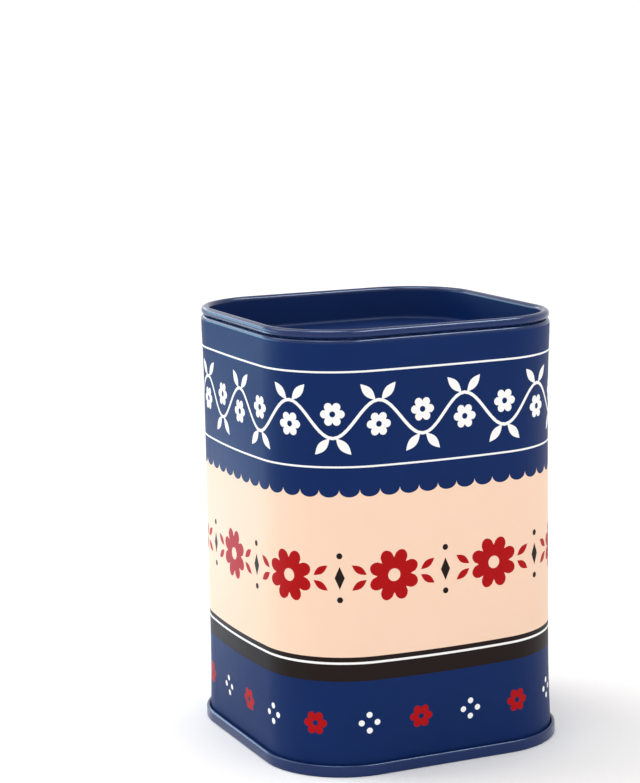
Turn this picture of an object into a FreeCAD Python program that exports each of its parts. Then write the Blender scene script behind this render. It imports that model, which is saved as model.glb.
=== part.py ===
"""A square tinplate money box with rounded corners, in millimetres, +Z up.

The box stands on its base seam at Z = 0, with the middle of the base at the origin.
The printed front faces -Y and the lock seam of the body sheet is in the middle of the back, +Y.
Three pressings of one gauge of tinplate make it: a rolled body shell, a base end that is
double seamed to it, and a recessed plug lid with a coin slot, which lifts off.
"""

import FreeCAD, Part
import math
import os

import Sketcher

DOCUMENT = FreeCAD.newDocument("tin_money_box")
V = FreeCAD.Vector
ROOT_POINT = (-1, 1)
START, END, CENTRE = 1, 2, 3

# Driving dimensions: name, value, what it is
DIMENSIONS = (
    ("body_side", 73.6, "outside of the body, flat to flat"),
    ("corner_radius", 19.5, "outside corner of the body, seen from above"),
    ("total_height", 105.0, "floor to the top of the lid's roll"),
    ("sheet", 0.28, "tinplate gauge"),
    ("body_curl", 1.75, "outside diameter of the body's inward roll"),
    ("lid_curl", 2.1, "outside diameter of the lid's outward roll"),
    ("lid_gap", 0.1, "height between the two rolls with the lid on"),
    ("plug_clearance", 0.15, "between the lid's plug and the body's roll, each side"),
    ("recess_depth", 8.5, "top of the lid's roll down to its floor"),
    ("lid_bend", 1.0, "inside radius where the lid's floor meets its plug"),
    ("slot_length", 38.0, "coin slot, end to end"),
    ("slot_width", 5.0, "coin slot, side to side"),
    ("slot_lip", 1.8, "depth of the turned-down edge of the slot"),
    ("slot_edge", 0.2, "rounding of the slot's upper edge"),
    ("seam_height", 2.8, "height of the base seam"),
    ("seam_gap", 0.1, "between the layers of the base seam"),
    ("hook_relief", 0.1, "the body's hook stops this far below the bend that covers it"),
    ("base_recess", 3.2, "floor up to the underside of the base panel"),
    ("base_margin", 6.6, "flat margin of the base panel, outside its raised middle"),
    ("step_height", 1.0, "rise of the base panel's middle, which stiffens it"),
    ("panel_lap", 3.0, "flat strip that a rolled ring shares with its panel"),
    ("lock_width", 5.0, "width of the lock seam inside the back"),
    ("lock_layers", 3.0, "layers of sheet that the lock seam adds inside"),
    ("lock_margin", 7.0, "body edge to the end of the lock seam, top and bottom"),
    ("groove_width", 0.5, "width of the seam's line on the outside"),
    ("groove_depth", 0.14, "depth of the seam's line on the outside"),
)

# Sizes that several pieces share, as formulas of the driving dimensions
SHARED = {
    "half": "dims.body_side / 2",
    "hook_space": "(dims.sheet + 2 * dims.seam_gap)",
    "hook_foot": "(dims.sheet + dims.seam_gap)",
    "cover_hook_end": "(2 * dims.sheet + 2 * dims.seam_gap)",
    "base_hook_bend": "(dims.seam_height - 1.5 * dims.sheet - dims.seam_gap)",
    "body_top": "(dims.total_height - dims.lid_curl - dims.lid_gap)",
    "plug_face": "(dims.body_side / 2 - dims.body_curl - dims.plug_clearance)",
    "floor_top": "(dims.total_height - dims.recess_depth)",
}


def make_sheet():
    """The spreadsheet that holds the driving dimensions, one named cell each."""
    sheet = DOCUMENT.addObject("Spreadsheet::Sheet", "dims")
    for row, (name, value, words) in enumerate(DIMENSIONS, start=1):
        sheet.set(f"A{row}", words)
        sheet.set(f"B{row}", str(value))
        sheet.setAlias(f"B{row}", name)
    DOCUMENT.recompute()
    return sheet


DIMS = make_sheet()


def written_out(formula):
    """A formula with the names of shared sizes replaced by what they stand for."""
    for name, meaning in SHARED.items():
        formula = formula.replace("{" + name + "}", meaning)
    return formula


def number(formula):
    """What a formula of the sheet's cells comes to now."""
    return float(DIMS.evalExpression(written_out(formula)))


def plane(body, role):
    """One of a body's own origin planes."""
    return next(p for p in body.Origin.OriginFeatures if p.Role == role)


def new_body(name):
    body = DOCUMENT.addObject("PartDesign::Body", name)
    body.Label = name
    return body


def new_sketch(body, name, role, offset=None):
    """A sketch on an origin plane, moved along that plane's normal by a formula."""
    sketch = body.newObject("Sketcher::SketchObject", name)
    sketch.AttachmentSupport = (plane(body, role), [""])
    sketch.MapMode = "FlatFace"
    if offset:
        sketch.setExpression("AttachmentOffset.Base.z", written_out(offset))
    return sketch


def bind(sketch, kind, where, formula):
    """A dimension whose size is a formula of the sheet's cells."""
    index = sketch.addConstraint(Sketcher.Constraint(kind, *where, number(formula)))
    sketch.setExpression(f"Constraints[{index}]", written_out(formula))


def place_point(sketch, geometry, end, across, up):
    """Ties a point to the sketch's origin."""
    bind(sketch, "DistanceX", (*ROOT_POINT, geometry, end), across)
    bind(sketch, "DistanceY", (*ROOT_POINT, geometry, end), up)


def arc(centre, radius, first, last):
    """An arc of a circle in the sketch's plane, from one angle round to another, in radians."""
    return Part.ArcOfCircle(Part.Circle(centre, V(0, 0, 1), radius), first, last)


def rounded_square(sketch, side, radius):
    """A square about the origin with round corners. Its outline starts halfway along the +X side,
    where the sections that follow it are drawn."""
    half, r = number(side) / 2, number(radius)
    inner = half - r
    quarter = math.pi / 2
    corners = ((inner, inner), (-inner, inner), (-inner, -inner), (inner, -inner))
    lines = (
        ((half, 0), (half, inner)),
        ((inner, half), (-inner, half)),
        ((-half, inner), (-half, -inner)),
        ((-inner, -half), (inner, -half)),
    )
    chain = []
    for turn, ((a, b), c) in enumerate(zip(lines, corners)):
        chain.append(sketch.addGeometry(Part.LineSegment(V(*a, 0), V(*b, 0))))
        chain.append(sketch.addGeometry(arc(V(*c, 0), r, turn * quarter, (turn + 1) * quarter)))
    chain.append(sketch.addGeometry(Part.LineSegment(V(half, -inner, 0), V(half, 0, 0))))
    for first, second in zip(chain, chain[1:]):
        sketch.addConstraint(Sketcher.Constraint("Tangent", first, END, second, START))
    sketch.addConstraint(Sketcher.Constraint("Coincident", chain[-1], END, chain[0], START))
    for line, way in zip(chain[::2], ("Vertical", "Horizontal", "Vertical", "Horizontal", "Vertical")):
        sketch.addConstraint(Sketcher.Constraint(way, line))
    arcs = chain[1::2]
    bind(sketch, "Radius", (arcs[0],), radius)
    for other in arcs[1:3]:
        sketch.addConstraint(Sketcher.Constraint("Equal", arcs[0], other))
    sketch.addConstraint(Sketcher.Constraint("PointOnObject", chain[0], START, -1))
    middle = (arcs[0], CENTRE, arcs[2], CENTRE, *ROOT_POINT)
    sketch.addConstraint(Sketcher.Constraint("Symmetric", *middle))
    bind(sketch, "DistanceX", (arcs[2], CENTRE, arcs[0], CENTRE), f"{side} - 2 * ({radius})")
    bind(sketch, "DistanceY", (arcs[2], CENTRE, arcs[0], CENTRE), f"{side} - 2 * ({radius})")


def left_of(way):
    return V(-way.y, way.x, 0)


def squarely_across(way):
    return "Vertical" if way.x else "Horizontal"


def folded_strip(sketch, start, way, steps):
    """The section of folded sheet metal. It starts at the left edge of the strip's end, runs along
    way, and follows steps: ("run", length of the left face), ("bend", quarter turns to the left,
    inside radius), or ("fold", one quarter turn to the left or right) for a crease ironed sharp."""
    gauge = number("dims.sheet")
    here, way = V(number(start[0]), number(start[1]), 0), V(*way, 0)
    ends = [here, here - left_of(way) * gauge]
    first_cap = sketch.addGeometry(Part.LineSegment(*ends))
    place_point(sketch, first_cap, START, *start)
    sketch.addConstraint(Sketcher.Constraint(squarely_across(way), first_cap))
    bind(sketch, "Distance", (first_cap,), "dims.sheet")
    last = [(first_cap, START), (first_cap, END)]
    joined, after_fold = "Coincident", False
    for step, following in zip(steps, (*steps[1:], ("end",))):
        made = []
        if step[0] == "fold":
            way = left_of(way) * step[1]
            joined, after_fold = "Coincident", True
            continue
        if step[0] == "run":
            far = ends[0] + way * number(step[1])
            mitre = gauge * following[1] if following[0] == "fold" else 0
            far_ends = [far, far - left_of(way) * gauge + way * mitre]
            for at, far_end in zip(ends, far_ends):
                line = sketch.addGeometry(Part.LineSegment(at, far_end))
                made.append((line, START, END))
                sketch.addConstraint(Sketcher.Constraint("Horizontal" if way.x else "Vertical", line))
            if after_fold:
                bind(sketch, "Distance", (made[0][0], START, made[1][0]), "dims.sheet")
            ends, after_fold = far_ends, False
            new_size = ("Distance", (made[0][0],), step[1])
        else:
            turns, inside = step[1], step[2]
            tight = 0 if turns > 0 else 1
            radii = [number(inside) + (gauge if side != tight else 0) for side in (0, 1)]
            toward = left_of(way) * (1 if turns > 0 else -1)
            centre = ends[tight] + toward * radii[tight]
            spin = FreeCAD.Rotation(V(0, 0, 1), 90 * turns)
            for side, at in enumerate(ends):
                out = at - centre
                first_angle = math.atan2(out.y, out.x)
                low, high = sorted((first_angle, first_angle + turns * math.pi / 2))
                curve = sketch.addGeometry(arc(centre, radii[side], low, high))
                made.append((curve, START, END) if turns > 0 else (curve, END, START))
                ends[side] = centre + spin.multVec(out)
            same_centre = (made[0][0], CENTRE, made[1][0], CENTRE)
            sketch.addConstraint(Sketcher.Constraint("Coincident", *same_centre))
            new_size = ("Radius", (made[tight][0],), inside)
            way = spin.multVec(way)
            way = V(round(way.x), round(way.y), 0)
        for (before, before_end), (after, after_start, _) in zip(last, made):
            sketch.addConstraint(Sketcher.Constraint(joined, before, before_end, after, after_start))
        bind(sketch, *new_size)
        last = [(geometry, finish) for geometry, _, finish in made]
        joined = "Tangent"
    last_cap = sketch.addGeometry(Part.LineSegment(*ends))
    for end, (geometry, finish) in zip((START, END), last):
        sketch.addConstraint(Sketcher.Constraint("Coincident", last_cap, end, geometry, finish))
    sketch.addConstraint(Sketcher.Constraint(squarely_across(way), last_cap))


def rolled_ring(body, name, start, way, steps):
    """A folded section carried round the body's outline, as a seaming roller carries it."""
    path = new_sketch(body, f"{name}_path", "XY_Plane")
    rounded_square(path, "dims.body_side", "dims.corner_radius")
    section = new_sketch(body, f"{name}_section", "XZ_Plane")
    folded_strip(section, start, way, steps)
    DOCUMENT.recompute()
    ring = body.newObject("PartDesign::AdditivePipe", name)
    ring.Profile = section
    ring.Spine = (path, [])
    DOCUMENT.recompute()
    return ring


def square_panel(body, name, inset, underside, thickness):
    """A flat rounded square that follows the body's outline at a distance inside it."""
    sketch = new_sketch(body, f"{name}_outline", "XY_Plane", underside)
    rounded_square(sketch, f"dims.body_side - 2 * ({inset})", f"dims.corner_radius - ({inset})")
    panel = body.newObject("PartDesign::Pad", name)
    panel.Profile = sketch
    panel.setExpression("Length", written_out(thickness))
    DOCUMENT.recompute()
    return panel


def long_hole(sketch, length, width):
    """A slot outline with round ends, along X, about the origin."""
    long, wide = number(length), number(width)
    reach, r = (long - wide) / 2, wide / 2
    shapes = (
        Part.LineSegment(V(-reach, -r, 0), V(reach, -r, 0)),
        arc(V(reach, 0, 0), r, -math.pi / 2, math.pi / 2),
        Part.LineSegment(V(reach, r, 0), V(-reach, r, 0)),
        arc(V(-reach, 0, 0), r, math.pi / 2, 1.5 * math.pi),
    )
    lower, right, upper, left = (sketch.addGeometry(shape) for shape in shapes)
    for first, second in ((lower, right), (right, upper), (upper, left), (left, lower)):
        sketch.addConstraint(Sketcher.Constraint("Tangent", first, END, second, START))
    sketch.addConstraint(Sketcher.Constraint("Horizontal", lower))
    sketch.addConstraint(Sketcher.Constraint("Symmetric", left, CENTRE, right, CENTRE, *ROOT_POINT))
    bind(sketch, "Radius", (right,), f"({width}) / 2")
    bind(sketch, "DistanceX", (left, CENTRE, right, CENTRE), f"({length}) - ({width})")


def rectangle(sketch, left, bottom, width, height):
    """An upright rectangle placed by its lower left corner."""
    x, y, w, h = (number(size) for size in (left, bottom, width, height))
    corners = (V(x, y, 0), V(x + w, y, 0), V(x + w, y + h, 0), V(x, y + h, 0))
    sides = [
        sketch.addGeometry(Part.LineSegment(a, b))
        for a, b in zip(corners, corners[1:] + corners[:1])
    ]
    for first, second in zip(sides, sides[1:] + sides[:1]):
        sketch.addConstraint(Sketcher.Constraint("Coincident", first, END, second, START))
    for side, way in zip(sides, ("Horizontal", "Vertical", "Horizontal", "Vertical")):
        sketch.addConstraint(Sketcher.Constraint(way, side))
    place_point(sketch, sides[0], START, left, bottom)
    bind(sketch, "Distance", (sides[0],), width)
    bind(sketch, "Distance", (sides[1],), height)


def make_body_shell():
    """The printed wall: hooked outwards at the foot, rolled inwards at the top, and closed by a
    lock seam down the middle of the back."""
    body = new_body("body_shell")
    rolled_ring(
        body,
        "wall",
        ("{half} + {hook_space} + dims.sheet", "{base_hook_bend} - dims.hook_relief"),
        (0, -1),
        (
            ("run", "{base_hook_bend} - dims.hook_relief - {hook_foot}"),
            ("fold", -1),
            ("run", "{hook_space} + 2 * dims.sheet"),
            ("fold", -1),
            ("run", "{body_top} - dims.body_curl / 2 - {hook_foot}"),
            ("bend", 3, "dims.body_curl / 2 - dims.sheet"),
        ),
    )
    seam_length = "{body_top} - 2 * dims.lock_margin"
    lock = new_sketch(body, "lock_seam_outline", "XZ_Plane", "-({half} - dims.sheet / 2)")
    rectangle(lock, "-dims.lock_width / 2", "dims.lock_margin", "dims.lock_width", seam_length)
    seam = body.newObject("PartDesign::Pad", "lock_seam")
    seam.Profile = lock
    seam.setExpression("Length", "(dims.lock_layers + 0.5) * dims.sheet")
    DOCUMENT.recompute()
    line = new_sketch(body, "seam_line_outline", "XZ_Plane", "-({half} - dims.groove_depth)")
    rectangle(line, "-dims.groove_width / 2", "dims.lock_margin", "dims.groove_width", seam_length)
    groove = body.newObject("PartDesign::Pocket", "seam_line")
    groove.Profile = line
    groove.setExpression("Length", "2 * dims.groove_depth")
    DOCUMENT.recompute()
    return body


def make_base_end():
    """The base: a countersunk panel whose edge wraps the body's hook in a double seam."""
    body = new_body("base_end")
    rolled_ring(
        body,
        "seam_ring",
        ("{half} + dims.seam_gap", "{cover_hook_end}"),
        (0, 1),
        (
            ("run", "{base_hook_bend} - {cover_hook_end}"),
            ("bend", -2, "{hook_space} / 2"),
            ("run", "{base_hook_bend}"),
            ("fold", -1),
            ("run", "5 * dims.sheet + 4 * dims.seam_gap"),
            ("fold", -1),
            ("run", "dims.base_recess"),
            ("fold", 1),
            ("run", "dims.base_margin"),
            ("fold", -1),
            ("run", "dims.step_height"),
            ("fold", 1),
            ("run", "dims.panel_lap"),
        ),
    )
    panel_inset = "2 * dims.sheet + dims.seam_gap + dims.base_margin + dims.panel_lap / 2"
    square_panel(body, "panel", panel_inset, "dims.base_recess + dims.step_height", "dims.sheet")
    return body


def slot_edges(shape):
    """The names of the edges round the top of the coin slot."""
    level, reach = number("{floor_top}"), number("dims.slot_length") / 2
    near = 1e-4
    names = []
    for index, edge in enumerate(shape.Edges, start=1):
        box = edge.BoundBox
        flat = abs(box.ZMin - level) < near and abs(box.ZMax - level) < near
        if flat and max(abs(box.XMin), abs(box.XMax)) < reach + near:
            names.append(f"Edge{index}")
    return names


def make_lid():
    """The plug lid: a recessed tray with its edge rolled outwards and a coin slot in its floor."""
    body = new_body("lid")
    rolled_ring(
        body,
        "plug_and_roll",
        ("{plug_face} - dims.sheet - dims.lid_bend - dims.panel_lap", "{floor_top}"),
        (1, 0),
        (
            ("run", "dims.panel_lap"),
            ("bend", 1, "dims.lid_bend"),
            ("run", "dims.recess_depth - dims.lid_curl / 2 - dims.lid_bend"),
            ("bend", -3, "dims.lid_curl / 2 - dims.sheet"),
        ),
    )
    floor_inset = "{half} - {plug_face} + dims.sheet + dims.lid_bend + dims.panel_lap / 2"
    square_panel(body, "tray_floor", floor_inset, "{floor_top} - dims.sheet", "dims.sheet")
    lip = new_sketch(body, "slot_lip_outline", "XY_Plane", "{floor_top} - dims.slot_lip")
    long_hole(lip, "dims.slot_length + 2 * dims.sheet", "dims.slot_width + 2 * dims.sheet")
    lip_pad = body.newObject("PartDesign::Pad", "slot_lip")
    lip_pad.Profile = lip
    lip_pad.setExpression("Length", "dims.slot_lip")
    DOCUMENT.recompute()
    hole = new_sketch(body, "slot_outline", "XY_Plane", "{floor_top}")
    long_hole(hole, "dims.slot_length", "dims.slot_width")
    slot = body.newObject("PartDesign::Pocket", "coin_slot")
    slot.Profile = hole
    slot.setExpression("Length", "2 * dims.slot_lip")
    DOCUMENT.recompute()
    rounding = body.newObject("PartDesign::Fillet", "slot_rounding")
    rounding.Base = (slot, slot_edges(slot.Shape))
    rounding.setExpression("Radius", "dims.slot_edge")
    DOCUMENT.recompute()
    return body


def check(body):
    """Stops the build if a piece or any of its features failed."""
    for item in [body, *body.Group]:
        bad = {"Invalid", "Error"} & set(item.State)
        if bad:
            raise RuntimeError(f"{body.Label}: {item.Name} is {', '.join(sorted(bad))}")
    shape = body.Shape
    if shape.isNull() or not shape.isValid() or not shape.Solids:
        raise RuntimeError(f"{body.Label} has no valid solid")


def main():
    pieces = [make_body_shell(), make_base_end(), make_lid()]
    DOCUMENT.recompute()
    for piece in pieces:
        check(piece)
    os.makedirs("parts", exist_ok=True)
    for piece in pieces:
        piece.Shape.exportStep(f"parts/{piece.Label}.step")
        box = piece.Shape.optimalBoundingBox()
        size = [round(length, 2) for length in (box.XLength, box.YLength, box.ZLength)]
        print(piece.Label, "size", size, "mm, volume", round(piece.Shape.Volume, 1), "mm3")


main()
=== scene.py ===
# %% [markdown]
# # A printed tin money box
#
# The object is a square tin with round corners. Its wall is one sheet of tinplate that was printed
# flat, folded along its edges, rolled into a tube and locked together down the back. A base is seamed
# on below, and a sunken lid with a coin slot plugs the top. This lesson makes the three pressings in
# the same order as the factory does: print flat, fold, roll.
#
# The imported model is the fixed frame. Every piece made here stands where its CAD node stands.

# %% Load the frame
import math

import bmesh
import bpy
import numpy as np
from mathutils import Matrix, Vector
from mathutils.geometry import delaunay_2d_cdt


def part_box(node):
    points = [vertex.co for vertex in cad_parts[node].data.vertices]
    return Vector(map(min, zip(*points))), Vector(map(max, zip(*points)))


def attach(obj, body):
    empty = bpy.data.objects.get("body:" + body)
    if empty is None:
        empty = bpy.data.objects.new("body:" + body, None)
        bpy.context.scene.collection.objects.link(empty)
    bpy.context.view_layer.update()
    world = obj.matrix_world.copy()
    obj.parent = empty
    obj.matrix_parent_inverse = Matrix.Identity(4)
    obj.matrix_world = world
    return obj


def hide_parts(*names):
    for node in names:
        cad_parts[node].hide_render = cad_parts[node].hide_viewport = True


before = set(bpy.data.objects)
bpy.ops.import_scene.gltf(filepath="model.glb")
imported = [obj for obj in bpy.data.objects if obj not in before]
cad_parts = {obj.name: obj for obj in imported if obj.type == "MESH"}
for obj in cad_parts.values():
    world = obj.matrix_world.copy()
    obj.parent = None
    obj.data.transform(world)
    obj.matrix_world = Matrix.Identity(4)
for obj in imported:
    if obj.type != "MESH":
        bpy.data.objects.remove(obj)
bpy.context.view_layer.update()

MM = 0.001

# %% [markdown]
# ## Sizes
#
# The frame gives the outer sizes of each pressing. The sheet's gauge and the layers of the base seam
# are known, so the wall's outer face follows from the seam's: the seam adds three layers of sheet
# and three gaps outside the wall. Everything below is in millimetres until a mesh is made.

# %% Sizes from the frame
SHEET = 0.28
SEAM_GAP = 0.1
CORNER_RADIUS = 19.5
BODY_CURL = 1.75
LID_CURL = 2.1
SEAM_LAYERS = 3


def upper_corner(node):
    """The upper corner of a CAD node's box, in millimetres."""
    _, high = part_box(node)
    return high / MM


SIDE = 2 * (upper_corner("base_end").x - SEAM_LAYERS * (SHEET + SEAM_GAP))
FLAT = SIDE - 2 * CORNER_RADIUS
QUARTER_ARC = math.pi / 2 * CORNER_RADIUS
GIRTH = 4 * (FLAT + QUARTER_ARC)
BODY_TOP = upper_corner("body_shell").z
TOTAL_HEIGHT = upper_corner("lid").z
print(f"side {SIDE:.2f}, girth {GIRTH:.2f}, body top {BODY_TOP:.2f}, height {TOTAL_HEIGHT:.2f}")

# %% [markdown]
# ## The camera
#
# A camera was fitted to the rims and the seam of the tin in the photograph. It gives the angles, the
# distance and the focal length in pixels. The picture's middle isn't the tin's middle, so the camera
# is turned until the tin's middle falls on the pixel where the photograph has it.

# %% Camera
PHOTO_WIDTH, PHOTO_HEIGHT = 640, 783
FOCAL_PIXELS = 2231.4
AZIMUTH, ELEVATION, ROLL = (math.radians(angle) for angle in (-25.36, 12.65, -0.78))
DISTANCE = 555 * MM
TARGET = Vector((0, 0, 52 * MM))
TARGET_PIXEL = (375.27, 518.15)
SENSOR = 36.0
NEAREST, FARTHEST = 0.01, 60


def make_camera():
    data = bpy.data.cameras.new("photo_camera")
    data.sensor_width = SENSOR
    data.lens = FOCAL_PIXELS * SENSOR / PHOTO_HEIGHT
    data.clip_start, data.clip_end = NEAREST, FARTHEST
    camera = bpy.data.objects.new("photo_camera", data)
    bpy.context.scene.collection.objects.link(camera)
    level = math.cos(ELEVATION)
    back = Vector((math.sin(AZIMUTH) * level, -math.cos(AZIMUTH) * level, math.sin(ELEVATION)))
    right = Vector((0, 0, 1)).cross(back).normalized()
    axes = Matrix((right, back.cross(right), back)).transposed()
    off_x = (TARGET_PIXEL[0] - PHOTO_WIDTH / 2) / FOCAL_PIXELS
    off_y = (PHOTO_HEIGHT / 2 - TARGET_PIXEL[1]) / FOCAL_PIXELS
    aim = Vector((off_x, off_y, -1)).rotation_difference(Vector((0, 0, -1))).to_matrix()
    turn = axes @ Matrix.Rotation(ROLL, 3, "Z") @ aim
    camera.matrix_world = Matrix.Translation(TARGET + back * DISTANCE) @ turn.to_4x4()
    bpy.context.scene.camera = camera
    return camera


photo_camera = make_camera()
camera_place = [round(x, 3) for x in photo_camera.matrix_world.translation]
print("camera at", camera_place, "lens", round(photo_camera.data.lens, 1))

# %% [markdown]
# ## Finishes
#
# Tin printing lays flat inks over a white or clear size coat and closes them under a roller-coated
# varnish. The eye gets even colour, a satin gloss, and a very faint ripple where the rollers left the
# varnish a little thicker and thinner. The rolled edges and the base have a glossier enamel. Inside,
# the tinplate is bare: a grey metal with a fine grain along the way it was rolled. Small helpers make
# linear colour from hex, add a node, and add the three kinds of node that both finishes share.

# %% Helpers for materials
def linear(code):
    """An sRGB hex colour as linear RGBA."""
    channels = [int(code[i:i + 2], 16) / 255 for i in (1, 3, 5)]
    return [c / 12.92 if c <= 0.04045 else ((c + 0.055) / 1.055) ** 2.4 for c in channels] + [1.0]


def add(tree, kind, inputs=None, **settings):
    """Adds a node, sets its properties, and sets or links its inputs."""
    node = tree.nodes.new(kind)
    for name, value in settings.items():
        setattr(node, name, value)
    for key, value in (inputs or {}).items():
        socket = node.inputs[key]
        if isinstance(value, bpy.types.NodeSocket):
            tree.links.new(value, socket)
        else:
            socket.default_value = value
    return node


def new_material(name):
    """An empty material, its node tree, and its Object coordinates in metres."""
    material = bpy.data.materials.new(name)
    material.use_nodes = True
    tree = material.node_tree
    tree.nodes.clear()
    coordinates = add(tree, "ShaderNodeTexCoord")
    return material, tree, coordinates.outputs["Object"]


def noise(tree, place, size, detail):
    """A noise with features of about one size in millimetres, from 0 to 1."""
    inputs = {"Vector": place, "Scale": 1 / (size * MM), "Detail": detail}
    return add(tree, "ShaderNodeTexNoise", inputs).outputs["Fac"]


def blend(tree, share, first, second):
    """A colour between two hex colours."""
    mix = add(tree, "ShaderNodeMix", {"Factor": share}, data_type="RGBA")
    mix.inputs["A"].default_value = linear(first)
    mix.inputs["B"].default_value = linear(second)
    return mix.outputs["Result"]


def spread(tree, value, low, high):
    """A value from 0 to 1, spread between two others."""
    inputs = {"Value": value, "To Min": low, "To Max": high}
    return add(tree, "ShaderNodeMapRange", inputs).outputs["Result"]


print("a middle grey in linear light:", round(linear("#808080")[0], 3))

# %% Two kinds of finish
INK_CLOUD, CLOUD_DETAIL = 9.0, 3.0
VARNISH_RIPPLE, RIPPLE_DETAIL = 1.6, 2.0
RIPPLE_STRENGTH, RIPPLE_HEIGHT = 0.05, 0.05
GLOSS_VARIES = 0.03
VARNISH_IOR = 1.5
GRAIN, GRAIN_DETAIL = 6.0, 4.0
GRAIN_SQUEEZE = (1.0, 1.0, 14.0)
TIN_ROUGHNESS = (0.24, 0.42)


def litho_ink(name, hex_colour, lighter, roughness=0.48, shine=0.1):
    """Printed ink under varnish: colour that hardly varies, and a faint ripple in its gloss."""
    material, tree, place = new_material(name)
    cloud = noise(tree, place, INK_CLOUD, CLOUD_DETAIL)
    ripple = noise(tree, place, VARNISH_RIPPLE, RIPPLE_DETAIL)
    bump = add(tree, "ShaderNodeBump", {
        "Height": ripple,
        "Strength": RIPPLE_STRENGTH,
        "Distance": RIPPLE_HEIGHT * MM,
    })
    shader = add(tree, "ShaderNodeBsdfPrincipled", {
        "Base Color": blend(tree, cloud, hex_colour, lighter),
        "Roughness": spread(tree, ripple, roughness - GLOSS_VARIES, roughness + GLOSS_VARIES),
        "Normal": bump.outputs["Normal"],
        "IOR": VARNISH_IOR,
        "Specular IOR Level": shine,
    })
    add(tree, "ShaderNodeOutputMaterial", {"Surface": shader.outputs["BSDF"]})
    return material


def bare_tinplate(name):
    """Tin over rolled steel: grey metal, with grain drawn out along the sheet's length."""
    material, tree, place = new_material(name)
    squeezed = add(tree, "ShaderNodeMapping", {"Vector": place, "Scale": GRAIN_SQUEEZE})
    grain = noise(tree, squeezed.outputs["Vector"], GRAIN, GRAIN_DETAIL)
    shader = add(tree, "ShaderNodeBsdfPrincipled", {
        "Base Color": blend(tree, grain, "#B9BABA", "#D3D3D0"),
        "Metallic": 1.0,
        "Roughness": spread(tree, grain, *TIN_ROUGHNESS),
    })
    add(tree, "ShaderNodeOutputMaterial", {"Surface": shader.outputs["BSDF"]})
    return material


print("ink clouds of", INK_CLOUD, "mm, varnish ripple of", VARNISH_RIPPLE, "mm, tin grain of", GRAIN, "mm")

# %% The inks and metals
NAVY, CREAM, BLACK, WHITE, RED, TIN, ENAMEL = range(7)
FINISHES = {
    NAVY: litho_ink("litho_navy_ink", "#042357", "#06275D"),
    CREAM: litho_ink("litho_cream_ink", "#F4D0B6", "#F6D4BB"),
    BLACK: litho_ink("litho_black_ink", "#1D1310", "#211714"),
    WHITE: litho_ink("litho_white_ink", "#F4F3F0", "#F8F7F5"),
    RED: litho_ink("litho_red_ink", "#A80207", "#AE0409"),
    TIN: bare_tinplate("bare_tinplate"),
    ENAMEL: litho_ink("navy_enamel", "#072356", "#09275C", roughness=0.2, shine=0.32),
}
print("finishes:", [material.name for material in FINISHES.values()])

# %% [markdown]
# ## Rolling
#
# All three pressings follow the same rounded square, so one rule rolls them all. A straight strip
# lies along X, with its distance outside the wall in Y and its height in Z. The rule takes the length
# along the strip, finds which quarter of the outline it falls in, and sends it along that flat and then
# round that corner. Geometry Nodes suits this: the strip stays simple, and the tree holds the rule,
# with the side and the corner radius as its inputs. It also gives each face its finish by number.

# %% The rolling tree
def rolling_tree():
    tree = bpy.data.node_groups.new("roll_round_the_tin", "GeometryNodeTree")
    face = tree.interface
    face.new_socket("Strip", in_out="INPUT", socket_type="NodeSocketGeometry")
    for name in ("Side", "Corner Radius"):
        face.new_socket(name, in_out="INPUT", socket_type="NodeSocketFloat")
    face.new_socket("Rolled", in_out="OUTPUT", socket_type="NodeSocketGeometry")
    given = add(tree, "NodeGroupInput").outputs

    def maths(operation, *values):
        node = add(tree, "ShaderNodeMath", dict(enumerate(values)), operation=operation)
        return node.outputs["Value"]

    side, radius = given["Side"], given["Corner Radius"]
    place = add(tree, "GeometryNodeInputPosition").outputs["Position"]
    strip = add(tree, "ShaderNodeSeparateXYZ", {"Vector": place}).outputs
    flat = maths("SUBTRACT", side, maths("MULTIPLY", radius, 2.0))
    arc = maths("MULTIPLY", radius, math.pi / 2)
    quarter = maths("ADD", flat, arc)
    along = maths("ADD", strip["X"], maths("MULTIPLY", flat, 0.5))
    turns = maths("FLOOR", maths("DIVIDE", along, quarter))
    within = maths("SUBTRACT", along, maths("MULTIPLY", turns, quarter))
    straight = maths("MINIMUM", within, flat)
    angle = maths("DIVIDE", maths("MAXIMUM", maths("SUBTRACT", within, flat), 0.0), radius)
    reach = maths("ADD", radius, strip["Y"])
    across = maths("SUBTRACT", maths("MULTIPLY", flat, 0.5), straight)
    x = maths("SUBTRACT", across, maths("MULTIPLY", reach, maths("SINE", angle)))
    y = maths("ADD", maths("MULTIPLY", flat, 0.5), maths("MULTIPLY", reach, maths("COSINE", angle)))
    point = add(tree, "ShaderNodeCombineXYZ", {"X": x, "Y": y, "Z": strip["Z"]}).outputs["Vector"]
    turned = add(tree, "ShaderNodeVectorRotate", {
        "Vector": point,
        "Angle": maths("MULTIPLY", turns, math.pi / 2),
    }, rotation_type="Z_AXIS").outputs["Vector"]
    rolled = add(tree, "GeometryNodeSetPosition", {"Geometry": given["Strip"], "Position": turned})
    real = add(tree, "GeometryNodeRealizeInstances", {"Geometry": rolled.outputs["Geometry"]})
    shape = real.outputs["Geometry"]
    number = add(tree, "GeometryNodeInputNamedAttribute", {"Name": "finish"}, data_type="INT")
    for finish, material in FINISHES.items():
        chosen = add(tree, "FunctionNodeCompare", data_type="INT", operation="EQUAL")
        tree.links.new(number.outputs["Attribute"], chosen.inputs["A"])
        chosen.inputs["B"].default_value = finish
        painted = add(tree, "GeometryNodeSetMaterial", {
            "Geometry": shape,
            "Selection": chosen.outputs["Result"],
            "Material": material,
        })
        shape = painted.outputs["Geometry"]
    add(tree, "NodeGroupOutput", {"Rolled": shape})
    return tree


ROLLING = rolling_tree()
print("rolling tree:", len(ROLLING.nodes), "nodes")

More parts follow.
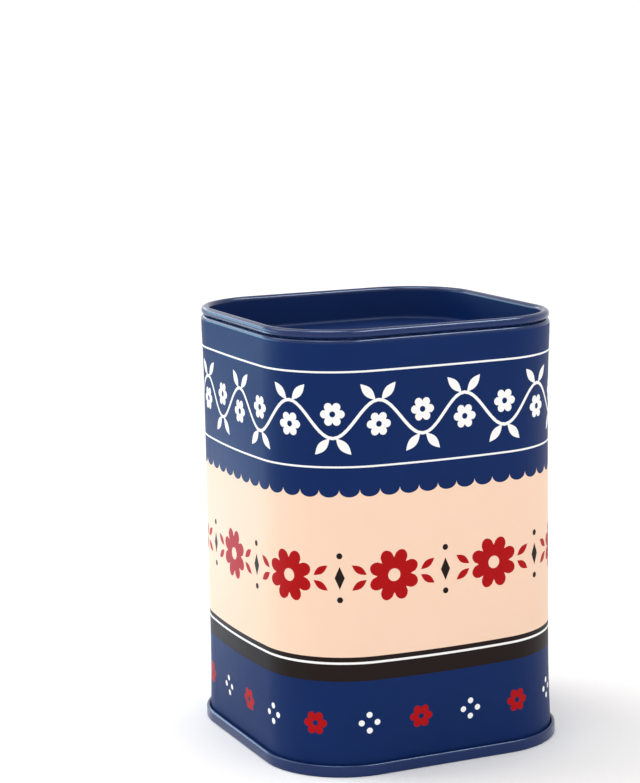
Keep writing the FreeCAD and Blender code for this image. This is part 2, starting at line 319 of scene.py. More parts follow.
# %% Rolling a strip
def roll(mesh):
    """Rolls a straight strip round the tin and gives back a plain mesh."""
    strip = bpy.data.objects.new("strip", mesh)
    bpy.context.scene.collection.objects.link(strip)
    modifier = strip.modifiers.new("roll", "NODES")
    modifier.node_group = ROLLING
    sizes = {"Side": SIDE * MM, "Corner Radius": CORNER_RADIUS * MM}
    for item in ROLLING.interface.items_tree:
        if item.in_out == "INPUT" and item.name in sizes:
            modifier[item.identifier] = sizes[item.name]
    evaluated = strip.evaluated_get(bpy.context.evaluated_depsgraph_get())
    rolled = bpy.data.meshes.new_from_object(evaluated)
    bpy.data.objects.remove(strip)
    return rolled


print("outline: flats of", round(FLAT, 2), "mm and corners of", round(QUARTER_ARC, 2), "mm")

# %% [markdown]
# ## Folded sections
#
# A pressing's section is a strip of constant gauge: straight runs joined by bends. It could be drawn
# point by point, but then a change of gauge would mean drawing it again. Instead, one function walks
# along the strip and writes down both of its faces, and another rounds a cut edge over. A section is a
# list of points (distance outside the wall, height), in order round the strip.

# %% Walking along a folded strip
BEND_STEP = math.radians(11)
LEAST_BEND_STEPS = 3
END_STEPS = 4


def folded(start, heading, steps):
    """The left and right faces of a folded strip, as lists of points. It starts at the left edge.
    A step is ("run", length) or ("bend", quarter turns to the left, inside radius)."""
    way = np.array(heading, float)
    left = np.array(start, float)
    right = left + SHEET * np.array((way[1], -way[0]))
    faces = [[left], [right]]
    for step in steps:
        if step[0] == "run":
            for face in faces:
                face.append(face[-1] + way * step[1])
            continue
        _, turns, inside = step
        tight = 0 if turns > 0 else 1
        inward = np.array((-way[1], way[0])) * math.copysign(1, turns)
        centre = faces[tight][-1] + inward * inside
        sweep = turns * math.pi / 2
        count = max(LEAST_BEND_STEPS, math.ceil(abs(sweep) / BEND_STEP))
        outs = [face[-1] - centre for face in faces]
        for k in range(1, count + 1):
            c, s = math.cos(sweep * k / count), math.sin(sweep * k / count)
            spin = np.array(((c, -s), (s, c)))
            for face, out in zip(faces, outs):
                face.append(centre + spin @ out)
        way = np.round(spin @ way)
    return faces


def rounded_end(first, second):
    """The points between the two faces of a cut edge, on a half circle that bulges outwards."""
    middle, arm = (first + second) / 2, (first - second) / 2
    angles = [math.pi * k / END_STEPS for k in range(1, END_STEPS)]
    return [middle + math.cos(a) * arm + math.sin(a) * np.array((arm[1], -arm[0])) for a in angles]


elbow = folded((0, 0), (0, 1), (("run", 5), ("bend", 1, 1)))
print("a run and one bend:", len(elbow[0]), "points on each face")

# %% [markdown]
# ## Columns and rows
#
# The strip needs edges across it wherever the outline bends, so each corner is cut into equal steps.
# The flats get a few too, because a thin wall bows a little between its stiff edges. A column close to
# each end of a flat keeps the shading of the corners off it, and a few more stand beside the lock seam,
# where the strip's two ends meet. Rows up the wall follow the bow as well: they stand closest together
# near its two ends, where it starts, so that the shading shows no step.

# %% Columns along the strip, rows up the wall
CORNER_STEPS = 32
FLAT_STEPS = 9
LOCK_HALF = 2.5
LOCK_STEP = 0.25
GROOVE_HALF = 0.25
GROOVE_STEP = 0.12
HOLD = 0.4


def column_places():
    places = []
    for quarter in range(4):
        start = FLAT / 2 + quarter * (FLAT + QUARTER_ARC)
        places += [start + QUARTER_ARC * k / CORNER_STEPS for k in range(CORNER_STEPS + 1)]
        places += [start - HOLD, start + QUARTER_ARC + HOLD]
        places += [(start - FLAT * k / FLAT_STEPS) % GIRTH for k in range(1, FLAT_STEPS)]
    seam = [0, GROOVE_HALF - GROOVE_STEP, GROOVE_HALF, GROOVE_HALF + GROOVE_STEP]
    seam += [LOCK_HALF - LOCK_STEP, LOCK_HALF, LOCK_HALF + LOCK_STEP, LOCK_HALF + 2 * LOCK_STEP]
    return np.array(sorted(set(places + seam + [GIRTH - s for s in seam])))


COLUMNS = column_places()
GROOVE_END = 7.0
GROOVE_LOW, GROOVE_HIGH = GROOVE_END, BODY_TOP - GROOVE_END
WALL_LOW, WALL_HIGH = 3.0, 101.0
WALL_MIDDLE, WALL_REACH = (WALL_HIGH + WALL_LOW) / 2, (WALL_HIGH - WALL_LOW) / 2
BOW_ROWS = 25
BOW_LEVELS = WALL_MIDDLE - WALL_REACH * np.cos(np.linspace(0, math.pi, BOW_ROWS))
print(len(COLUMNS), "columns over", round(GIRTH, 1), "mm,", BOW_ROWS, "rows up the wall")

# %% [markdown]
# ## The print
#
# The sheet is printed flat, so the print is drawn flat too: a rectangle as long as the girth and as
# high as the wall, with the seam at its two ends and the middle of the front in the middle. Shapes are
# laid one over another, each with its ink. Then one triangulation cuts the rectangle along every
# outline and every column, and each triangle takes the ink of the last shape that covers it. The edges
# of the print are then real edges of the mesh, and stay sharp at any distance.

# %% Shapes for the print
# A fold that is ironed flat keeps this inside radius.
IRONED = 0.06
PRINT_LOW = 2 * SHEET + SEAM_GAP + IRONED
PRINT_HIGH = BODY_TOP - BODY_CURL / 2
FRONT = GIRTH / 2
PETAL_POINTS = 8
PETAL_ROOT, PETAL_REACH, PETAL_ROUND = 0.66, 0.34, 0.7
EYE_SHARE = 0.24
shapes = []


def lay(outline, ink):
    shapes.append((np.array(outline, float), ink))


def bar(left, low, right, high, ink):
    lay([(left, low), (right, low), (right, high), (left, high)], ink)


def disc(x, z, radius, ink, points=20):
    turn = [2 * math.pi * k / points for k in range(points)]
    lay([(x + radius * math.cos(a), z + radius * math.sin(a)) for a in turn], ink)


def lozenge(x, z, wide, high, ink):
    lay([(x - wide / 2, z), (x, z - high / 2), (x + wide / 2, z), (x, z + high / 2)], ink)


def rosette(x, z, radius, petals, ink, eye):
    """A flower of round petals with a small round eye."""
    outline = []
    for k in range(petals * PETAL_POINTS):
        a = 2 * math.pi * k / (petals * PETAL_POINTS)
        r = radius * (PETAL_ROOT + PETAL_REACH * abs(math.sin(petals * a / 2)) ** PETAL_ROUND)
        outline.append((x + r * math.sin(a), z + r * math.cos(a)))
    lay(outline, ink)
    disc(x, z, radius * EYE_SHARE, eye)


def leaf(x, z, long, wide, angle, ink, points=8):
    """A pointed leaf that starts at a point and grows along an angle."""
    c, s = math.cos(angle), math.sin(angle)
    upper = [(long * k / points, wide / 2 * math.sin(math.pi * k / points)) for k in range(points + 1)]
    lower = [(u, -v) for u, v in reversed(upper[1:-1])]
    lay([(x + c * u - s * v, z + s * u + c * v) for u, v in upper + lower], ink)


print("printed area:", round(GIRTH, 1), "by", round(PRINT_HIGH - PRINT_LOW, 1), "mm")

# %% [markdown]
# The bands run all the way round: cream in the middle, navy above with a scalloped edge, a black belt
# with a white piping line, and navy below. The scallops are half ellipses, repeated round the girth.

# %% Bands, scallops and piping
SCALLOPS = 54
SCALLOP_DEPTH = 1.75
SCALLOP_CUSP = 68.1
SCALLOP_PHASE = 3.1
SCALLOP_POINTS = 12
END_MARGIN = 1e-6
BELT_LOW, BELT_HIGH = 22.7, 28.5
PIPING_LOW, PIPING_HIGH = 26.8, 27.35


def scallop_edge():
    pitch = GIRTH / SCALLOPS
    first = (FRONT + SCALLOP_PHASE) % pitch - pitch
    lobe = [0.5 - 0.5 * math.cos(math.pi * k / SCALLOP_POINTS) for k in range(SCALLOP_POINTS)]
    along = [first + pitch * (n + share) for n in range(SCALLOPS + 2) for share in lobe]
    inside = sorted([s for s in along if END_MARGIN < s < GIRTH - END_MARGIN] + [0.0, GIRTH])

    def height(s):
        share = ((s - first) / pitch) % 1.0
        return SCALLOP_CUSP - SCALLOP_DEPTH * math.sqrt(max(0.0, 1 - (2 * share - 1) ** 2))

    return [(s, height(s)) for s in inside]


bar(0, PRINT_LOW, GIRTH, PRINT_HIGH, CREAM)
lay(scallop_edge() + [(GIRTH, PRINT_HIGH), (0, PRINT_HIGH)], NAVY)
bar(0, PRINT_LOW, GIRTH, BELT_LOW, NAVY)
bar(0, BELT_LOW, GIRTH, BELT_HIGH, BLACK)
bar(0, PIPING_LOW, GIRTH, PIPING_HIGH, WHITE)
print(len(shapes), "bands, the upper one with", SCALLOPS, "scallops")

# %% [markdown]
# Each band then gets a frieze: one small motif repeated round the girth, as on folk-art tins. A waving
# vine runs through the upper band between two fine rules. Its stem is a band of even width along a
# sine wave, with leaves outside each bend and a blossom inside it. A row of red flowers and black
# lozenges stands in the cream band, and buds and dots alternate in the lower one. The repeats divide
# the girth, and flowers, leaves and lozenges keep clear of the lock seam, as a printer's layout does.

# %% The vine in the upper band
VINE_WAVES = 12
VINE_POINTS = 20
VINE_LEVEL, VINE_SWING, VINE_WIDE = 84.4, 4.3, 0.75
RULE_LEVELS, RULE_WIDE = (73.4, 95.4), 0.45
BLOSSOM, BLOSSOM_PETALS, BLOSSOM_INSIDE = 2.9, 6, 1.3
LEAF_LONG, LEAF_WIDE = 5.2, 2.1
# A leaf leans by this angle, and starts as many millimetres from the middle of the bend.
LEAF_LEAN = 0.75


def vine():
    wave = GIRTH / VINE_WAVES
    along = np.linspace(0, GIRTH, VINE_WAVES * VINE_POINTS + 1)
    phase = 2 * math.pi * along / wave
    stem = VINE_LEVEL + VINE_SWING * np.sin(phase)
    slope = VINE_SWING * 2 * math.pi / wave * np.cos(phase)
    half = VINE_WIDE / 2 * np.sqrt(1 + slope ** 2)
    upper = np.column_stack((along, stem + half))
    lower = np.column_stack((along, stem - half))
    lay(np.concatenate((upper, lower[::-1])), WHITE)
    for bend in range(2 * VINE_WAVES):
        x = wave * (bend / 2 + 0.25)
        way = -1 if bend % 2 else 1
        for lean in (-LEAF_LEAN, LEAF_LEAN):
            angle = way * (math.pi / 2 - lean)
            leaf(x + lean, VINE_LEVEL + way * VINE_SWING, LEAF_LONG, LEAF_WIDE, angle, WHITE)
        rosette(x, VINE_LEVEL - way * BLOSSOM_INSIDE, BLOSSOM, BLOSSOM_PETALS, WHITE, NAVY)
    for level in RULE_LEVELS:
        bar(0, level - RULE_WIDE / 2, GIRTH, level + RULE_WIDE / 2, WHITE)


vine()
print(VINE_WAVES, "waves of vine")

# %% Flowers in the cream band, buds in the lower one
FLOWERS, FLOWER_LEVEL, FLOWER, FLOWER_PETALS = 10, 47.4, 6.3, 8
SPRIG_LONG, SPRIG_WIDE, SPRIG_GAP, SPRIG_LIFT = 4.2, 1.7, 0.4, 0.6
LOZENGE_WIDE, LOZENGE_HIGH = 2.4, 5.4
LOZENGE_DOT = 5.2
BUDS, BUD_LEVEL, BUD, BUD_PETALS = 20, 12.6, 2.9, 6
DOT, DOT_RING = 0.72, 1.9


def flower_row():
    step = GIRTH / FLOWERS
    for k in range(FLOWERS):
        x = step * (k + 0.5)
        rosette(x, FLOWER_LEVEL, FLOWER, FLOWER_PETALS, RED, CREAM)
        for way in (-1, 1):
            for lift in (-SPRIG_LIFT, SPRIG_LIFT):
                tilt = math.pi / 2 - way * (math.pi / 2 - lift)
                root = x + way * (FLOWER + SPRIG_GAP)
                leaf(root, FLOWER_LEVEL + lift, SPRIG_LONG, SPRIG_WIDE, tilt, RED)
    for k in range(1, FLOWERS):
        lozenge(step * k, FLOWER_LEVEL, LOZENGE_WIDE, LOZENGE_HIGH, BLACK)
        for lift in (-LOZENGE_DOT, LOZENGE_DOT):
            disc(step * k, FLOWER_LEVEL + lift, DOT, BLACK)


def bud_row():
    step = GIRTH / BUDS
    for k in range(BUDS):
        x = step * (k + 0.5)
        if k % 2:
            rosette(x, BUD_LEVEL, BUD, BUD_PETALS, RED, NAVY)
            continue
        for turn in range(4):
            angle = math.pi / 2 * turn
            z = BUD_LEVEL + DOT_RING * math.sin(angle)
            disc(x + DOT_RING * math.cos(angle), z, DOT, WHITE)


flower_row()
bud_row()
print(len(shapes), "printed shapes")

# %% Cutting the printed sheet
CUT_MERGE = 1e-5


def inside_outline(points, outline):
    """Which points lie inside a closed outline."""
    x, z = points[:, 0], points[:, 1]
    inside = np.zeros(len(points), bool)
    for (x0, z0), (x1, z1) in zip(outline, np.roll(outline, -1, axis=0)):
        crosses = (z0 > z) != (z1 > z)
        if z0 != z1:
            inside ^= crosses & (x < (x1 - x0) * (z - z0) / (z1 - z0) + x0)
    return inside


def cut_print():
    """The printed rectangle as triangles: points, corner numbers and the ink of each triangle."""
    points, edges = [], []

    def path(line, closed):
        first = len(points)
        points.extend(Vector(p) for p in line)
        edges.extend((first + k, first + k + 1) for k in range(len(line) - 1))
        if closed:
            edges.append((first + len(line) - 1, first))

    for outline, _ in shapes:
        path(outline, True)
    for s in COLUMNS:
        path([(s, PRINT_LOW), (s, PRINT_HIGH)], False)
    for level in (PRINT_LOW + HOLD, *BOW_LEVELS, PRINT_HIGH - HOLD):
        path([(0, level), (GIRTH, level)], False)
    for z in (GROOVE_LOW, GROOVE_HIGH):
        for offset in (0, GROOVE_STEP):
            level = z + math.copysign(offset, z - BODY_TOP / 2)
            path([(0, level), (GROOVE_HALF, level)], False)
            path([(GIRTH - GROOVE_HALF, level), (GIRTH, level)], False)
    cut = delaunay_2d_cdt(points, edges, [], 0, CUT_MERGE)
    places = np.array([p[:] for p in cut[0]])
    triangles = np.array([f[:] for f in cut[2]])
    centres = places[triangles].mean(axis=1)
    inks = np.zeros(len(triangles), int)
    for outline, ink in shapes:
        inks[inside_outline(centres, outline)] = ink
    return places, triangles, inks


places, triangles, inks = cut_print()
print("printed sheet:", len(places), "points,", len(triangles), "triangles")

# %% [markdown]
# ## The body
#
# The wall's section starts at the end of the hook inside the base seam, folds under, runs up the wall
# and rolls inwards at the top. Its outer face between the hook and the roll is the printed sheet. The
# rest is a plain grid of faces, with glossy enamel on the roll and bare tin inside. The seam's line on
# the outside and the lock seam's raised strip inside are pressed into the same sheet. Last, the wall
# is bowed: each side swells a little between the stiff roll and the stiff seam, as thin sheet does.

# %% Straight strips
def strip_mesh(name, rows, finishes, close=True, skip=None):
    """A mesh of quads along the columns. Rows are points round the section; finishes[k] is the finish
    of the faces between row k and the next. Skip leaves one band of faces out."""
    mesh = bpy.data.meshes.new(name)
    build = bmesh.new()
    finish = build.faces.layers.int.new("finish")
    grid = [[build.verts.new((s * MM, d * MM, z * MM)) for s in COLUMNS] for d, z in rows]
    last = len(rows) if close else len(rows) - 1
    for k in range(last):
        if k == skip:
            continue
        upper, lower = grid[k], grid[(k + 1) % len(rows)]
        for c in range(len(COLUMNS) - 1):
            face = build.faces.new((upper[c], upper[c + 1], lower[c + 1], lower[c]))
            face[finish] = finishes[k]
            face.smooth = True
    return mesh, build, finish


print("a strip has", len(COLUMNS) - 1, "faces between two rows")

# %% Closing and placing a piece
WELD = 0.002 * MM


def welded(rolled):
    """Closes the rolled strip where its ends meet, with every face turned outwards."""
    build = bmesh.new()
    build.from_mesh(rolled)
    bmesh.ops.remove_doubles(build, verts=build.verts[:], dist=WELD)
    bmesh.ops.recalc_face_normals(build, faces=build.faces[:])
    for face in build.faces:
        face.smooth = True
    build.to_mesh(rolled)
    build.free()
    return rolled


def count_open_edges(mesh):
    """How many edges don't have two faces. A closed mesh has none."""
    counts = np.zeros(len(mesh.edges), int)
    for polygon in mesh.polygons:
        for loop in polygon.loop_indices:
            counts[mesh.loops[loop].edge_index] += 1
    return np.count_nonzero(counts != 2)


def finish_piece(name, rolled, body, node):
    """Puts a mesh in the scene, where it stands for a CAD node and moves with a body."""
    piece = bpy.data.objects.new(name, rolled)
    bpy.context.scene.collection.objects.link(piece)
    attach(piece, body)
    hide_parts(node)
    print(name, len(rolled.polygons), "faces,", count_open_edges(rolled), "open edges")


print("ends closer than", WELD / MM, "mm are merged")

# %% The lock seam and the bow
LOCK_RISE = 3 * SHEET
GROOVE_DEEP = 0.14
BOW, BOW_LIFT = 0.85, 0.2
BOW_FULLNESS = 8
NEAR = 1e-4


def press_seam(build):
    """The lock seam: a strip raised inwards and a fine line pressed in outside."""
    for vertex in build.verts:
        s, d, z = (c / MM for c in vertex.co)
        from_seam = min(s, GIRTH - s)
        if not GROOVE_LOW - NEAR < z < GROOVE_HIGH + NEAR:
            continue
        if abs(d) < NEAR and from_seam < GROOVE_HALF - GROOVE_STEP + NEAR:
            vertex.co.y -= GROOVE_DEEP * MM
        elif abs(d + SHEET) < NEAR and from_seam < LOCK_HALF + NEAR:
            vertex.co.y -= LOCK_RISE * MM


def bow_wall(build):
    """The wall swells in the middle of each side and draws in at the corners, as two parabolas that
    share their slope where they meet. It stays straight at the seam and at the roll."""
    slope = 4 * BOW / FLAT
    for vertex in build.verts:
        s, _, z = (c / MM for c in vertex.co)
        if not WALL_LOW < z < WALL_HIGH:
            continue
        within = (s + FLAT / 2) % (FLAT + QUARTER_ARC)
        swell = slope * within * (1 - within / FLAT)
        if within > FLAT:
            turned = within - FLAT
            swell = -slope * turned * (1 - turned / QUARTER_ARC)
        height = (z - WALL_MIDDLE) / WALL_REACH
        vertex.co.y += (swell + BOW_LIFT) * (1 - height ** BOW_FULLNESS) ** 2 * MM


print("the middle of each side stands out by", round(BOW + BOW_LIFT, 2), "mm")

# %% The body shell
SEAM_HIGH = 2.8
HOOK_SPACE = SHEET + 2 * SEAM_GAP
HOOK_FOOT = SHEET + SEAM_GAP
BASE_HOOK_BEND = SEAM_HIGH - 1.5 * SHEET - SEAM_GAP
HOOK_RELIEF = 0.1


def map_flat(build, rows, skip):
    """Lays the section's rows out flat in a map for baking. Gives the map and the rows' places in it."""
    flat_map = build.loops.layers.uv.new("OFBake")
    steps = [math.dist(a, b) for a, b in zip(rows, rows[1:] + rows[:1])]
    run = np.concatenate(([0.0], np.cumsum(steps)))
    for number, face in enumerate(build.faces):
        band = number // (len(COLUMNS) - 1)
        band += band >= skip
        for corner, loop in enumerate(face.loops):
            loop[flat_map].uv = (loop.vert.co.x / MM / GIRTH, run[band + (corner > 1)] / run[-1])
    return flat_map, run


def make_body():
    fold = SHEET + IRONED
    left, right = folded((HOOK_SPACE + SHEET, BASE_HOOK_BEND - HOOK_RELIEF), (0, -1), (
        ("run", BASE_HOOK_BEND - HOOK_RELIEF - HOOK_FOOT - fold),
        ("bend", -1, IRONED),
        ("run", HOOK_SPACE - 2 * IRONED),
        ("bend", -1, IRONED),
        ("run", PRINT_HIGH - HOOK_FOOT - fold),
        ("bend", 3, BODY_CURL / 2 - SHEET),
    ))
    wall = next(k for k in range(len(right) - 1) if right[k + 1][1] - right[k][1] > BODY_TOP / 2)
    inner = [GROOVE_LOW - LOCK_STEP, GROOVE_LOW, GROOVE_HIGH, GROOVE_HIGH + LOCK_STEP, *BOW_LEVELS]
    left[wall + 1:wall + 1] = [np.array((-SHEET, z)) for z in sorted(inner)]
    roll_end = rounded_end(left[-1], right[-1])
    rows = left + roll_end + right[::-1] + rounded_end(right[0], left[0])
    skip = len(left) + len(roll_end) + len(right) - 2 - wall
    finishes = [ENAMEL if len(left) <= k < skip else TIN for k in range(len(rows))]
    mesh, build, finish = strip_mesh("body_strip", rows, finishes, skip=skip)
    flat_map, run = map_flat(build, rows, skip)
    sheet = [build.verts.new((s * MM, 0, z * MM)) for s, z in places]
    for corners, ink in zip(triangles, inks):
        face = build.faces.new([sheet[k] for k in corners])
        face[finish] = int(ink)
        face.smooth = True
        for loop in face.loops:
            down = run[skip] + PRINT_HIGH - loop.vert.co.z / MM
            loop[flat_map].uv = (loop.vert.co.x / MM / GIRTH, down / run[-1])
    press_seam(build)
    bow_wall(build)
    build.to_mesh(mesh)
    build.free()
    return welded(roll(mesh))


finish_piece("body_wall", make_body(), "tin", "body_shell")

# %% [markdown]
# ## The base
#
# The base's edge is wrapped round the wall's hook. It starts between the wall and the hook, goes up and
# over the hook, down outside it, under, and up inside the wall to the sunken panel. That is a double
# seam. The panel's middle is one step higher, which keeps thin sheet from drumming. The strip is rolled
# like the wall, and two flat faces close its middle.

# %% The base end
BASE_RECESS, BASE_MARGIN, STEP_HIGH = 3.2, 6.6, 1.0
COVER_HOOK_END = 2 * SHEET + 2 * SEAM_GAP
SEAM_THICK = 5 * SHEET + 4 * SEAM_GAP
PANEL_LAP = 3.0
CREASE = 0.1


def place_on_outline(length, outside):
    """The same rolling rule for one point, as X and Y in millimetres."""
    along = length + FLAT / 2
    turns = math.floor(along / (FLAT + QUARTER_ARC))
    within = along - turns * (FLAT + QUARTER_ARC)
    angle = max(within - FLAT, 0) / CORNER_RADIUS
    reach = CORNER_RADIUS + outside
    x = FLAT / 2 - min(within, FLAT) - reach * math.sin(angle)
    y = FLAT / 2 + reach * math.cos(angle)
    c, s = math.cos(turns * math.pi / 2), math.sin(turns * math.pi / 2)
    return c * x - s * y, s * x + c * y


def open_tray(name, rows, finishes):
    """Rolls a strip and opens it for the faces that fill its middle. Gives the mesh, the open build,
    and the number that each finish has in the mesh."""
    mesh, build, _ = strip_mesh(name, rows, finishes, close=False)
    build.to_mesh(mesh)
    build.free()
    rolled = roll(mesh)
    build = bmesh.new()
    build.from_mesh(rolled)
    used = list(rolled.materials)
    numbers = {kind: used.index(material) for kind, material in FINISHES.items() if material in used}
    return rolled, build, numbers


def make_base():
    fold = SHEET + CREASE
    left, right = folded((SEAM_GAP, COVER_HOOK_END), (0, 1), (
        ("run", BASE_HOOK_BEND - COVER_HOOK_END),
        ("bend", -2, HOOK_SPACE / 2),
        ("run", BASE_HOOK_BEND - fold),
        ("bend", -1, CREASE),
        ("run", SEAM_THICK - 2 * fold),
        ("bend", -1, CREASE),
        ("run", BASE_RECESS - fold - CREASE),
        ("bend", 1, CREASE),
        ("run", BASE_MARGIN - fold - CREASE),
        ("bend", -1, CREASE),
        ("run", STEP_HIGH - fold - CREASE),
        ("bend", 1, CREASE),
        ("run", PANEL_LAP),
    ))
    rows = right[::-1] + rounded_end(right[0], left[0]) + left
    tin_bands = len(right) + 1
    finishes = [TIN] * tin_bands + [ENAMEL] * (len(rows) - tin_bands)
    rolled, build, numbers = open_tray("base_strip", rows, finishes)
    for points, kind in ((left, ENAMEL), (right, TIN)):
        outside, z = points[-1]
        ring = [place_on_outline(s, outside) for s in COLUMNS[:-1]]
        panel = build.faces.new([build.verts.new((x * MM, y * MM, z * MM)) for x, y in ring])
        panel.material_index = numbers[kind]
    build.to_mesh(rolled)
    build.free()
    return welded(rolled)


finish_piece("base_end_seamed", make_base(), "tin", "base_end")

# %% [markdown]
# ## The lid
#
# The lid is a drawn tray. Its edge rolls outwards and sits on the wall's roll, and its floor has the
# coin slot, with edges turned down so that they don't cut. The tray is rolled like the others. Its
# floor is then filled up to the slot, and a small ring of turned edge follows the slot's outline. The
# tray is satin ink, its roll is glossy enamel, and the side that goes into the tin is bare.

# %% The slot and the floor round it
SLOT_LONG, SLOT_WIDE, SLOT_LIP = 38.0, 5.0, 1.8
SLOT_ROUND = 0.45
SLOT_STEPS = 12
EDGE_STEPS = 5


def slot_outline(outside):
    """The slot's outline, grown by a distance."""
    reach = (SLOT_LONG - SLOT_WIDE) / 2
    radius = SLOT_WIDE / 2 + outside
    points = []
    for side in (1, -1):
        for k in range(SLOT_STEPS + 1):
            a = -math.pi / 2 + math.pi * k / SLOT_STEPS
            points.append((side * (reach + radius * math.cos(a)), side * radius * math.sin(a)))
    return points


def fill_floor(build, outer, hole, z, index):
    """Flat triangles between the tray's ring and the slot."""
    line = [Vector(p) for p in outer + hole]
    count = len(outer)
    edges = [(k, (k + 1) % count) for k in range(count)]
    edges += [(count + k, count + (k + 1) % len(hole)) for k in range(len(hole))]
    cut = delaunay_2d_cdt(line, edges, [], 0, CUT_MERGE)
    centres = np.array([[cut[0][k][:] for k in f] for f in cut[2]]).mean(axis=1)
    keep = inside_outline(centres, np.array(outer)) & ~inside_outline(centres, np.array(hole))
    verts = [build.verts.new((p.x * MM, p.y * MM, z * MM)) for p in cut[0]]
    for corners, wanted in zip(cut[2], keep):
        if wanted:
            face = build.faces.new([verts[k] for k in corners])
            face.material_index = index


def turned_edge():
    """The section of the slot's edge, as (distance outside the slot, height from the floor's top)."""
    curve = [math.pi / 2 * k / EDGE_STEPS for k in range(EDGE_STEPS + 1)]
    inner = SLOT_ROUND - SHEET
    top = [(SLOT_ROUND * (1 - math.sin(a)), -SLOT_ROUND * (1 - math.cos(a))) for a in curve]
    under = [(SHEET + inner * (1 - math.sin(a)), -SHEET - inner * (1 - math.cos(a))) for a in curve]
    near_foot = np.array((0, SHEET / 2 - SLOT_LIP))
    far_foot = np.array((SHEET, SHEET / 2 - SLOT_LIP))
    lip = [near_foot, *rounded_end(near_foot, far_foot), far_foot]
    reach = SLOT_ROUND + HOLD
    return [(reach, 0), *top, *lip, *reversed(under), (reach, -SHEET)]


print("slot:", SLOT_LONG, "by", SLOT_WIDE, "mm, with", len(turned_edge()), "points in its edge's section")

# %% The lid
LID_BEND = 1.0
RECESS = 8.5
PLUG_GAP = 0.15
PLUG_FACE = -(BODY_CURL + PLUG_GAP)


def make_lid():
    floor_top = TOTAL_HEIGHT - RECESS
    start = PLUG_FACE - SHEET - LID_BEND - PANEL_LAP
    left, right = folded((start, floor_top), (1, 0), (
        ("run", PANEL_LAP),
        ("bend", 1, LID_BEND),
        ("run", RECESS - LID_CURL / 2 - LID_BEND),
        ("bend", -3, LID_CURL / 2 - SHEET),
    ))
    rows = left + rounded_end(left[-1], right[-1]) + right[::-1]
    tray = next(k for k, point in enumerate(left) if point[1] > TOTAL_HEIGHT - LID_CURL)
    roll_end = len(left) + END_STEPS // 2
    finishes = [NAVY] * tray + [ENAMEL] * (roll_end - tray) + [TIN] * (len(rows) - roll_end)
    rolled, build, numbers = open_tray("lid_strip", rows, finishes)
    ring = [place_on_outline(s, start) for s in COLUMNS[:-1]]
    section = turned_edge()
    fill_floor(build, ring, slot_outline(section[0][0]), floor_top, numbers[NAVY])
    fill_floor(build, ring, slot_outline(section[-1][0]), floor_top - SHEET, numbers[TIN])
    loops = []
    for outside, z in section:
        level = (floor_top + z) * MM
        loops.append([build.verts.new((x * MM, y * MM, level)) for x, y in slot_outline(outside)])
    for upper, lower in zip(loops, loops[1:]):
        for k in range(len(upper)):
            n = (k + 1) % len(upper)
            face = build.faces.new((upper[k], upper[n], lower[n], lower[k]))
            face.material_index = numbers[NAVY]
    build.to_mesh(rolled)
    build.free()
    return welded(rolled)


finish_piece("plug_lid", make_lid(), "lid", "lid")

# %% [markdown]
# ## Studio
#
# The tin stands on a plain white floor. A sky that is white at the horizon and one wide, soft sun from
# behind on the left light it. Together they keep the open floor white, while the tin's own shadow
# falls to the right in front. The bright lines along the rolled edges come from lights that draw
# highlights and light nothing else. A roll mirrors a light only from where the angles agree, so a strip
# stands ahead on the right for the front, a box overhead for the left corner, and a strip behind for
# the left side. A wide blue box far out on the left gives the left wall its sheen, and a small bluish
# light low behind lifts that wall towards its back edge.

# %% The floor
FLOOR_REACH = 40.0
FLOOR_CUTS = 8


def make_floor():
    build = bmesh.new()
    bmesh.ops.create_grid(build, x_segments=FLOOR_CUTS, y_segments=FLOOR_CUTS, size=FLOOR_REACH)
    mesh = bpy.data.meshes.new("studio_floor")
    build.to_mesh(mesh)
    build.free()
    floor = bpy.data.objects.new("studio_floor", mesh)
    bpy.context.scene.collection.objects.link(floor)
    material, tree, _ = new_material("white_paper")
    shader = add(tree, "ShaderNodeBsdfPrincipled", {"Base Color": linear("#FCFCFC"), "Roughness": 0.9})
    add(tree, "ShaderNodeOutputMaterial", {"Surface": shader.outputs["BSDF"]})
    mesh.materials.append(material)


make_floor()
print("floor", 2 * FLOOR_REACH, "m across")

# %% Kinds of light
WHITE_LIGHT, COOL_LIGHT = (1.0, 1.0, 1.0), (0.72, 0.85, 1.0)
BLUISH_LIGHT, BLUE_LIGHT = (0.55, 0.75, 1.0), (0.25, 0.75, 1.0)
HAZE_LOW, HAZE_HIGH = 0.03, 0.15


def soft_light(name, place, aim, size, power, tint=WHITE_LIGHT, gloss_only=False):
    """A rectangle of light. One that is gloss only draws highlights and lights nothing else."""
    data = bpy.data.lights.new(name, "AREA")
    data.shape = "RECTANGLE"
    data.size, data.size_y = size
    data.energy = power
    data.color = tint
    light = bpy.data.objects.new(name, data)
    bpy.context.scene.collection.objects.link(light)
    light.visible_camera = False
    light.visible_diffuse = not gloss_only
    light.location = place
    light.rotation_euler = (Vector(aim) - Vector(place)).to_track_quat("-Z", "Y").to_euler()


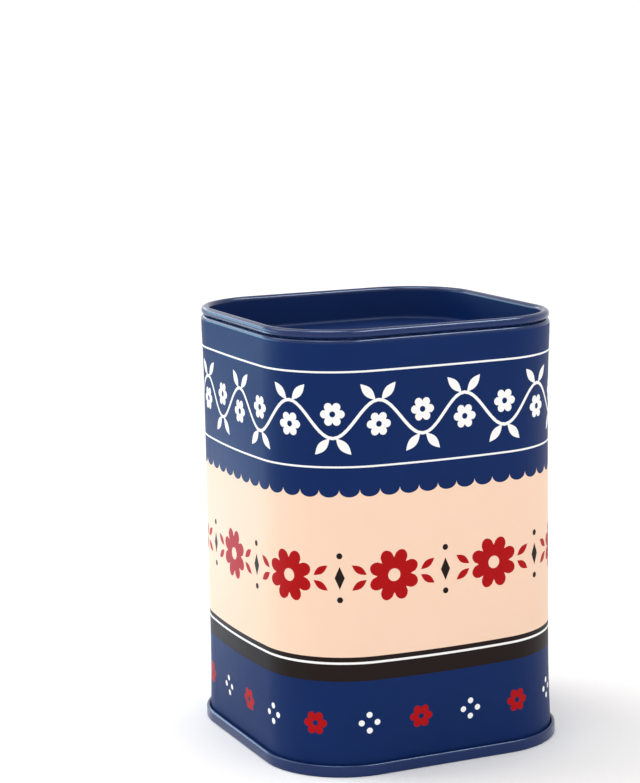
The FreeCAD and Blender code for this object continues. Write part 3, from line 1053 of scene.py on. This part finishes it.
def wide_sun(name, place, strength, spread):
    """One far source, soft because it is wide, that lights the whole floor evenly."""
    data = bpy.data.lights.new(name, "SUN")
    data.energy = strength
    data.angle = spread
    light = bpy.data.objects.new(name, data)
    bpy.context.scene.collection.objects.link(light)
    light.rotation_euler = (-Vector(place)).to_track_quat("-Z", "Y").to_euler()


def make_sky(horizon, above):
    """A plain sky: white at the horizon, where it shows behind the floor, and a little dimmer above."""
    world = bpy.data.worlds.new("studio_sky")
    world.use_nodes = True
    tree = world.node_tree
    tree.nodes.clear()
    way = add(tree, "ShaderNodeTexCoord").outputs["Generated"]
    rise = add(tree, "ShaderNodeSeparateXYZ", {"Vector": way}).outputs["Z"]
    level = add(tree, "ShaderNodeMapRange", {
        "Value": rise,
        "From Min": HAZE_LOW,
        "From Max": HAZE_HIGH,
        "To Min": horizon,
        "To Max": above,
    })
    glow = add(tree, "ShaderNodeBackground", {
        "Color": (*WHITE_LIGHT, 1.0),
        "Strength": level.outputs["Result"],
    })
    add(tree, "ShaderNodeOutputWorld", {"Surface": glow.outputs["Background"]})
    bpy.context.scene.world = world


make_sky(horizon=1.04, above=0.97)
print("sky:", bpy.context.scene.world.name)

# %% The lights
wide_sun("back_left_sun", place=(-0.5, 0.5, 0.8), strength=0.9, spread=math.radians(35))
soft_light("rim_softbox", place=(-0.085, 0.12, 0.03), aim=(-0.037, 0.02, 0.03), size=(0.05, 0.05),
           power=0.028, tint=BLUISH_LIGHT)
soft_light("top_strip", place=(0.36, -0.33, 0.85), aim=(0, 0, 0.05), size=(0.8, 0.12),
           power=11.0, tint=COOL_LIGHT, gloss_only=True)
soft_light("overhead_box", place=(-0.21, -0.07, 0.95), aim=(0, 0, 0.1), size=(0.5, 0.5),
           power=8.0, tint=COOL_LIGHT, gloss_only=True)
soft_light("back_strip", place=(-0.15, 0.9, 0.35), aim=(0, 0, 0.08), size=(0.6, 0.15),
           power=1.1, tint=COOL_LIGHT, gloss_only=True)
soft_light("side_box", place=(-0.75, 0.72, 0.08), aim=(-0.037, 0, 0.06), size=(0.9, 0.4),
           power=5.0, tint=BLUE_LIGHT, gloss_only=True)
bpy.context.scene.view_settings.view_transform = "Standard"
print("lights:", [light.name for light in bpy.data.lights])
